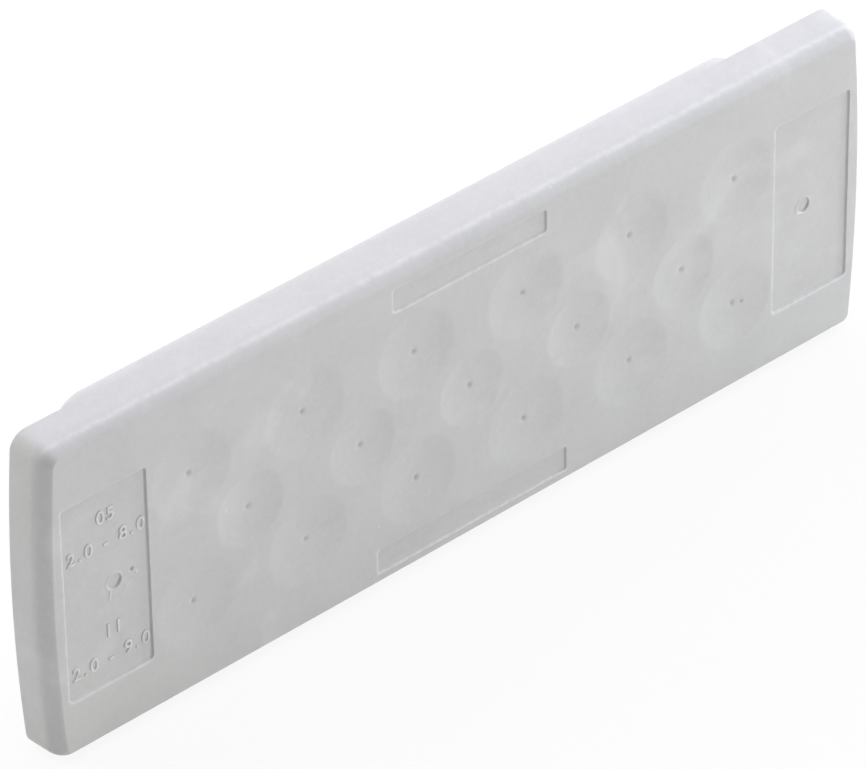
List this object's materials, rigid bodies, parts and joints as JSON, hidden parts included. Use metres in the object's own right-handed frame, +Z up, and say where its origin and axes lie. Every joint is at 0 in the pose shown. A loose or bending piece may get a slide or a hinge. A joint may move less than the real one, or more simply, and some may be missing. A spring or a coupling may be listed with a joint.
{
  "type": "cable entry plate",
  "caption": "Rectangular elastomer cable entry plate: staggered rows of dished, pierceable membrane entries, recessed data panels at its bowed ends, and a snap lip for a panel cut-out.",
  "frame": {"origin": "centre of the panel cut-out, on the plane where the back of the flange meets the panel", "axes": "+X along the plate's length, +Y out of the back of the plate into the panel, +Z up; the front face looks towards -Y"},
  "size_m": [0.1476, 0.0156, 0.0506],
  "materials": {
    "elastomer": "matte"
  },
  "bodies": {
    "root": {"entry_plate": "elastomer"}
  },
  "joints": []
}
